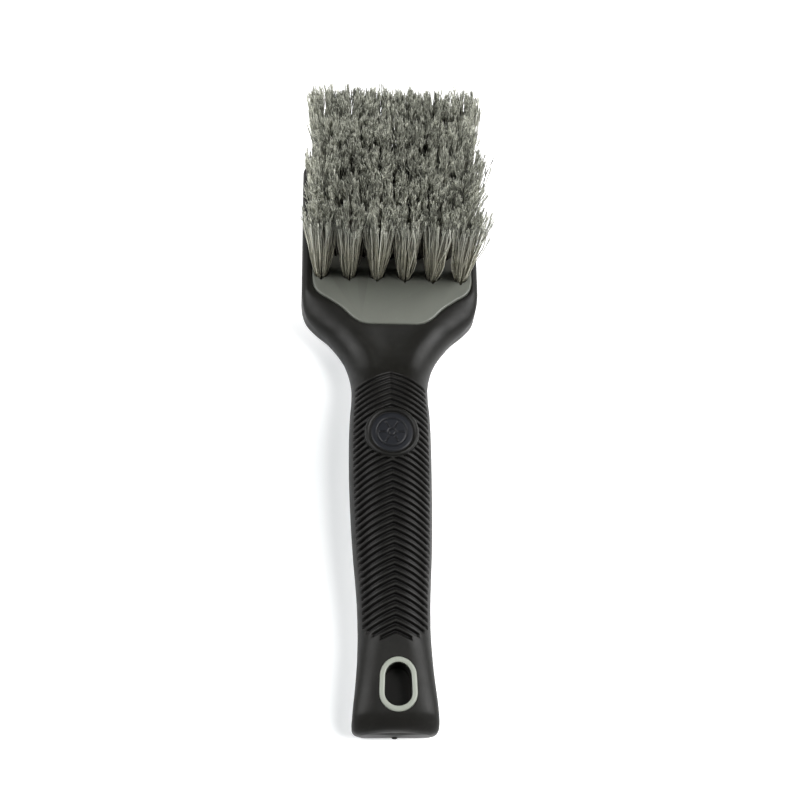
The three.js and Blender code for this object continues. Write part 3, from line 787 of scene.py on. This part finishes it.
# ---------------------------------------------------------------------- tufts
def tube(path, radii, sides, phase=0.0):
    """Rings of points round path (n, 3), one ring of the given radius at each path point. Returns the points as an
    array (n, sides, 3).
    """
    n = len(path)
    tan = np.gradient(path, axis=0)
    tan /= np.linalg.norm(tan, axis=1)[:, None] + 1e-12
    ref = np.array([0.13, 0.97, 0.2])
    u = np.cross(tan, ref)
    bad = np.linalg.norm(u, axis=1) < 1e-3
    u[bad] = np.cross(tan[bad], np.array([1.0, 0, 0]))
    u /= np.linalg.norm(u, axis=1)[:, None]
    for i in range(1, n):                                # keep the frame from flipping
        if u[i] @ u[i - 1] < 0:
            u[i] = -u[i]
    w = np.cross(tan, u)
    ang = phase + np.arange(sides) * 2 * math.pi / sides
    V = path[:, None, :] + radii[:, None, None] * (np.cos(ang)[None, :, None] * u[:, None, :] + np.sin(ang)[None, :, None] * w[:, None, :])
    return V


def tuft_mesh(row, col, count, cx, cy, seed):
    g = np.random.default_rng(seed)
    pairs = 110 if row >= len(TUFT_ROWS) - 2 else 90
    cells = pairs // 10
    edge_x = (-1 if col == 0 else 1 if col == count - 1 else 0) if count == 6 else (-0.35 if col == 0 else 0.35 if col == count - 1 else 0)
    edge_y = -1 if row == 0 else 1 if row == len(TUFT_ROWS) - 1 else 0
    verts, faces, uvs, filament_tone_and_painted_light, along = [], [], [], [], []
    base = 0
    lean = np.array([TIP_CENTRE_X[row] + TIP_SPREAD_X[row] * (cx - TUFT_X) - cx + g.normal(0, 0.35), TIP_LEAN_Y[row] + g.normal(0, 0.35)])
    tilt = g.normal(0, 0.25, 2)
    tuft_tone = g.normal(0, 0.05)
    tuft_len = g.normal(0, 0.45)

    def add(V, sides, tone_and_painted_light, t_values, cell):
        nonlocal base
        rings = len(V)
        flat = V.reshape(-1, 3)
        verts.append(flat)
        tip_a, tip_b = base + rings * sides, base + rings * sides + 1
        verts.append(np.array([V[0].mean(0) + (V[0].mean(0) - V[1].mean(0)) * 0.04, V[-1].mean(0) + (V[-1].mean(0) - V[-2].mean(0)) * 0.04]))
        filament_tone_and_painted_light.append(np.full(rings * sides + 2, tone_and_painted_light))
        along.append(np.concatenate([np.repeat(t_values, sides), [t_values[0], t_values[-1]]]))
        u0, v0, du, dv = cell
        for r in range(rings - 1):
            for c in range(sides):
                a, b = base + r * sides + c, base + r * sides + (c + 1) % sides
                d, e = a + sides, base + (r + 1) * sides + (c + 1) % sides
                faces.append((a, b, e, d))
                ua, ub = u0 + du * c / sides, u0 + du * (c + 1) / sides
                va, vb = v0 + dv * r / (rings - 1), v0 + dv * (r + 1) / (rings - 1)
                uvs.extend([(ua, va), (ub, va), (ub, vb), (ua, vb)])
        for c in range(sides):
            a, b = base + c, base + (c + 1) % sides
            faces.append((b, a, tip_a))
            uvs.extend([(u0 + du * (c + 1) / sides, v0), (u0 + du * c / sides, v0), (u0 + du * (c + 0.5) / sides, v0)])
            a, b = base + (rings - 1) * sides + c, base + (rings - 1) * sides + (c + 1) % sides
            faces.append((a, b, tip_b))
            uvs.extend([(u0 + du * c / sides, v0 + dv), (u0 + du * (c + 1) / sides, v0 + dv), (u0 + du * (c + 0.5) / sides, v0 + dv)])
        base += rings * sides + 2

    # even spread of the legs over the hole: two half discs, one on each side of the anchor
    k = np.arange(pairs)
    rad = np.sqrt((k + 0.5) / pairs)
    phi = k * 2.399963 + g.uniform(0, 6.28)
    disc = np.c_[rad * np.cos(phi), rad * np.sin(phi)]
    for i in range(pairs):
        side = 1 if i % 2 else -1
        legs = []
        for sgn in (side, -side):
            # this leg's place in the mouth of the hole
            if sgn == side:
                p = disc[i]
            else:
                q = (i * 0.618034 + 0.37) % 1.0
                rr, ff = math.sqrt((((i * 29) % pairs) + 0.5) / pairs), 6.2832 * q + 1.3
                p = np.array([rr * math.cos(ff), rr * math.sin(ff)])
            p = np.array([0.12 * sgn + abs(p[0]) * 0.92 * sgn if abs(p[0]) < 0.25 else p[0], p[1]])
            legs.append(p)
        root_y = np.clip((legs[0][1] + legs[1][1]) * 0.5, -0.85, 0.85) * 2.2
        fold_z = g.uniform(6.35, 7.25)
        halves = []
        # filaments on the outer side of the edge tufts, and at the back of the far row, are made lighter: painted light
        # from the side lamps. The front row starts a little lighter too: painted light.
        side_light = (0.75 if edge_x < 0 else 0.4) * max(0.0, abs(disc[i][0]) * abs(edge_x) * (1 if disc[i][0] * edge_x > 0 else 0)) + 0.16 * max(0.0, disc[i][1] * (edge_y > 0))
        tone_and_painted_light = np.clip((0.53 if row == 0 else 0.50) + tuft_tone + side_light + g.normal(0, 0.27), 0, 1)
        tips = []
        for leg, sgn in zip(legs, (side, -side)):
            m = leg * 2.35
            m = np.array([cx + m[0], cy + m[1]])
            jitter = g.normal(0, 0.45, 2) * [1.0, 2.2 if edge_y > 0 else 1.0]
            out = leg * [5.9 if count == 6 else 7.0, 6.2] + jitter + lean
            out[0] += edge_x * (0.5 + abs(g.normal(0, 0.9))) * max(0, leg[0] * edge_x)
            stray = 0.0
            if g.random() < (0.22 if edge_x > 0 and row < 3 else 0.09 if edge_x else 0.05 if edge_y else 0.012):
                stray = 1.0
                direction = np.array([edge_x * (1.5 if row < 2 else 1.0), edge_y * 0.6], float) + g.normal(0, 0.5, 2)
                direction /= np.linalg.norm(direction) + 1e-6
                out = out + direction * g.uniform(0.8, 5.4 if edge_x > 0 and row < 3 else 2.8)
            dome = -0.35 * float(leg @ leg)
            tip_z = TRIM_Z - 0.6 + dome + tuft_len * 0.4 - abs(g.normal(0, 1.5)) - stray * g.uniform(0.3, 1.6) + 0.25 * float(leg @ tilt)
            top = np.array([cx + out[0], cy + out[1], tip_z])
            bow, sway = g.normal(0, 0.5 if row == 0 else 0.75, 2), g.normal(0, 0.35, 2)
            n_seg = 6
            t = np.linspace(0, 1, n_seg + 1)
            mouth = np.array([m[0], m[1], PLATE_TOP - 0.6])
            run = mouth + (top - mouth) * t[:, None]
            run[:, :2] += bow * np.sin(math.pi * t)[:, None] + sway * np.sin(2 * math.pi * t)[:, None]
            low = np.array([[cx + sgn * (0.62 + 0.5 * abs(leg[0])), cy + root_y, 8.4], [m[0], m[1], 11.4]])
            halves.append((np.vstack([low, run]), t))
            tips.append((run, out, stray))
        a, b = halves
        fold = np.array([[cx + side * 0.35, cy + root_y, fold_z + 0.25], [cx, cy + root_y, fold_z], [cx - side * 0.35, cy + root_y, fold_z + 0.25]])
        path = np.vstack([a[0][::-1], fold, b[0]])
        r0 = g.uniform(0.155, 0.19)
        tv = np.concatenate([a[1][::-1], np.zeros(2), np.zeros(3), np.zeros(2), b[1]])
        radii = r0 * (1 - 0.35 * smooth(0.86, 1.0, tv))
        col_i, row_i = i % 10, i // 10
        cell = (col_i / 10 + 0.004, row_i / cells + 0.004, 0.046, 1 / cells - 0.011)
        add(tube(path, radii, 4, g.uniform(0, 1.5)), 4, tone_and_painted_light, tv, cell)
        # flagged ends: each end is split into fine hairs
        h = 0
        for run, out, stray in tips:
            d = run[-1] - run[-2]
            d = d / np.linalg.norm(d)
            for _ in range(3):
                start = run[-2] + (run[-1] - run[-2]) * g.uniform(-0.1, 0.5)
                fan = g.normal(0, 1.0, 3) * [0.52, 0.52, 0.15]
                end = run[-1] + d * g.uniform(-0.6, 0.9) + fan
                mid = start * 0.45 + end * 0.55 - fan * 0.15 + g.normal(0, 0.05, 3)
                V = tube(np.array([start, mid, end]), np.array([0.115, 0.105, 0.06]), 3, g.uniform(0, 2))
                cell = (col_i / 10 + 0.053 + 0.0075 * h, row_i / cells + 0.004, 0.0065, 1 / cells - 0.011)
                add(V, 3, np.clip(tone_and_painted_light + g.normal(0.05, 0.16), 0, 1), np.array([0.93, 0.97, 1.0]), cell)
                h += 1
    ob = new_object(f"tuft_r{row + 1}_{col + 1}_filaments", np.concatenate(verts), faces)
    uv = ob.data.uv_layers.new(name="OFBake")
    uv.data.foreach_set("uv", np.array(uvs, np.float32).reshape(-1))
    set_attribute(ob, "filament_tone_and_painted_light", np.concatenate(filament_tone_and_painted_light))
    set_attribute(ob, "along", np.concatenate(along))
    # rows behind the front row take painted shade low down in the block
    set_attribute(ob, "inner", np.full(len(ob.data.vertices), 0.0 if row == 0 else 0.7))
    ob.data.materials.append(BRISTLE)
    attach(ob, "root")
    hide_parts(f"tuft_r{row + 1}_{col + 1}")
    return ob


for idx, (row, i, count, cx, cy) in enumerate(PLACES):
    tuft_mesh(row, i, count, cx, cy, 7100 + idx)

# the anchors are carried over from CAD
for name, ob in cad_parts.items():
    if name.startswith("anchor_"):
        if not ob.material_slots:
            ob.data.materials.append(WIRE)
        for slot_ in ob.material_slots:
            slot_.link = "OBJECT"
            slot_.material = WIRE

# ---------------------------------------------------------------------- stage
floor_me = bpy.data.meshes.new("floor")
S = 12.0
floor_me.from_pydata([(-S, -S, -0.0003), (S, -S, -0.0003), (S, S, -0.0003), (-S, S, -0.0003)], [], [(0, 1, 2, 3)])
floor = bpy.data.objects.new("floor", floor_me)
bpy.context.scene.collection.objects.link(floor)
fm = Nodes("floor_white")
fm.link(fm.mix(fm.range(fm.noise(6, 2, 0.5), 0, 1), (0.88, 0.88, 0.88), (0.90, 0.90, 0.90)), fm.p.inputs["Base Color"])
fm.p.inputs["Roughness"].default_value = 0.75
fm.p.inputs["Specular IOR Level"].default_value = 0.2
# the sheet glows with painted light, brightest round the head and to the right; the glow falls off towards the lower
# left as a painted shadow
sep = fm.t.nodes.new("ShaderNodeSeparateXYZ")
fm.link(fm.coord.outputs["Object"], sep.inputs[0])
fall = fm.range(sep.outputs[0], 0.0, 1.0, -0.030, 0.012)
fall = fm.math("MAXIMUM", fall, fm.range(sep.outputs[1], 0.0, 1.0, 0.022, 0.060))
fm.link(fm.mix(fall, (0.01, 0.03, 0.04), (0.60, 0.60, 0.60)), fm.p.inputs["Emission Color"])
fm.p.inputs["Emission Strength"].default_value = 1.0
floor_me.materials.append(fm.m)

BOX_RIGHT, BOX_LEFT, WALL_RIGHT, WALL_LEFT, WALL_FRONT, ROOF = 8.2, 5.9, 0.05, 0.10, 0.12, 0.03
world = bpy.data.worlds.new("studio")
bpy.context.scene.world = world
world.use_nodes = True
bg = world.node_tree.nodes["Background"]
wt = world.node_tree
wc = wt.nodes.new("ShaderNodeTexCoord")
ws = wt.nodes.new("ShaderNodeSeparateXYZ")
wt.links.new(wc.outputs["Generated"], ws.inputs[0])


def world_range(value, a, b, lo, hi):
    r = wt.nodes.new("ShaderNodeMapRange")
    r.interpolation_type = "SMOOTHSTEP"
    for k, x in (("From Min", a), ("From Max", b), ("To Min", lo), ("To Max", hi)):
        r.inputs[k].default_value = x
    wt.links.new(value, r.inputs["Value"])
    return r.outputs["Result"]


def world_add(a, b):
    m = wt.nodes.new("ShaderNodeMath")
    m.operation = "ADD"
    for v, k in ((a, 0), (b, 1)):
        if isinstance(v, float):
            m.inputs[k].default_value = v
        else:
            wt.links.new(v, m.inputs[k])
    return m.outputs[0]


# a light tent: lit panels high on the left and right, dimmer walls below them, a dark roof and back
def world_mul(a, b):
    out = world_add(a, b)
    out.node.operation = "MULTIPLY"
    return out


def box_light(px, py, pz, lo, hi, power):
    """A round soft box in the direction (px, py, pz)."""
    k = 1 / math.sqrt(px * px + py * py + pz * pz)
    d = world_mul(ws.outputs[0], px * k)
    d = world_add(d, world_mul(ws.outputs[1], py * k))
    d = world_add(d, world_mul(ws.outputs[2], pz * k))
    return world_range(d, lo, hi, 0.0, power)


level = world_add(box_light(0.70, 0.03, 0.70, 0.90, 0.97, BOX_RIGHT), box_light(-0.70, 0.03, 0.70, 0.90, 0.97, BOX_LEFT))
level = world_add(level, world_range(ws.outputs[0], -0.55, -0.85, 0.0, WALL_LEFT))
level = world_add(level, world_range(ws.outputs[0], 0.55, 0.85, 0.0, WALL_RIGHT))
level = world_add(level, world_range(ws.outputs[1], -0.45, -0.90, 0.0, WALL_FRONT))
level = world_add(level, ROOF)
wt.links.new(level, bg.inputs[1])
bg.inputs[0].default_value = (1.0, 1.0, 1.0, 1)


def area(name, where, look, size, power, colour=(1, 1, 1)):
    la = bpy.data.lights.new(name, "AREA")
    la.shape = "RECTANGLE"
    la.size, la.size_y = size
    la.energy = power
    la.color = colour
    ob = bpy.data.objects.new(name, la)
    ob.location = where
    ob.rotation_euler = (Vector(look) - Vector(where)).to_track_quat("-Z", "Y").to_euler()
    bpy.context.scene.collection.objects.link(ob)
    return ob


area("key", (0.66, 0.0, 0.95), (0, 0, 0.01), (0.50, 0.50), 3.0)
area("fill", (-0.62, 0.0, 0.95), (0, 0, 0.01), (0.60, 0.60), 1.2)

# --------------------------------------------------------------------- camera
elev, dist, F = math.radians(65.0), 550.0, 1515.6
right, up, fwd = Vector((1, 0, 0)), Vector((0, math.sin(elev), math.cos(elev))), Vector((0, math.cos(elev), -math.sin(elev)))
pos = Vector((3.3, 0.0, 12.0)) - fwd * dist
m = Matrix((right, up, -fwd)).transposed().to_4x4()
m.translation = pos
# the brush as it lies under the camera: turned and rolled a little
place = Matrix.Translation((-0.38, -10.5, 0)) @ Matrix.Rotation(math.radians(0.96), 4, "Z") @ Matrix.Rotation(math.radians(4.0), 4, "Y")
m = place.inverted() @ m
m.translation = m.translation * MM
cam_data = bpy.data.cameras.new("camera")
cam_data.sensor_width = 36.0
cam_data.lens = 36.0 * F / 800.0
cam_data.clip_start, cam_data.clip_end = 0.01, 20
cam = bpy.data.objects.new("camera", cam_data)
bpy.context.scene.collection.objects.link(cam)
cam.matrix_world = m
bpy.context.scene.camera = cam

bpy.context.scene.view_settings.view_transform = "Standard"
bpy.context.scene.view_settings.look = "None"
bpy.context.scene.view_settings.exposure = 0.0
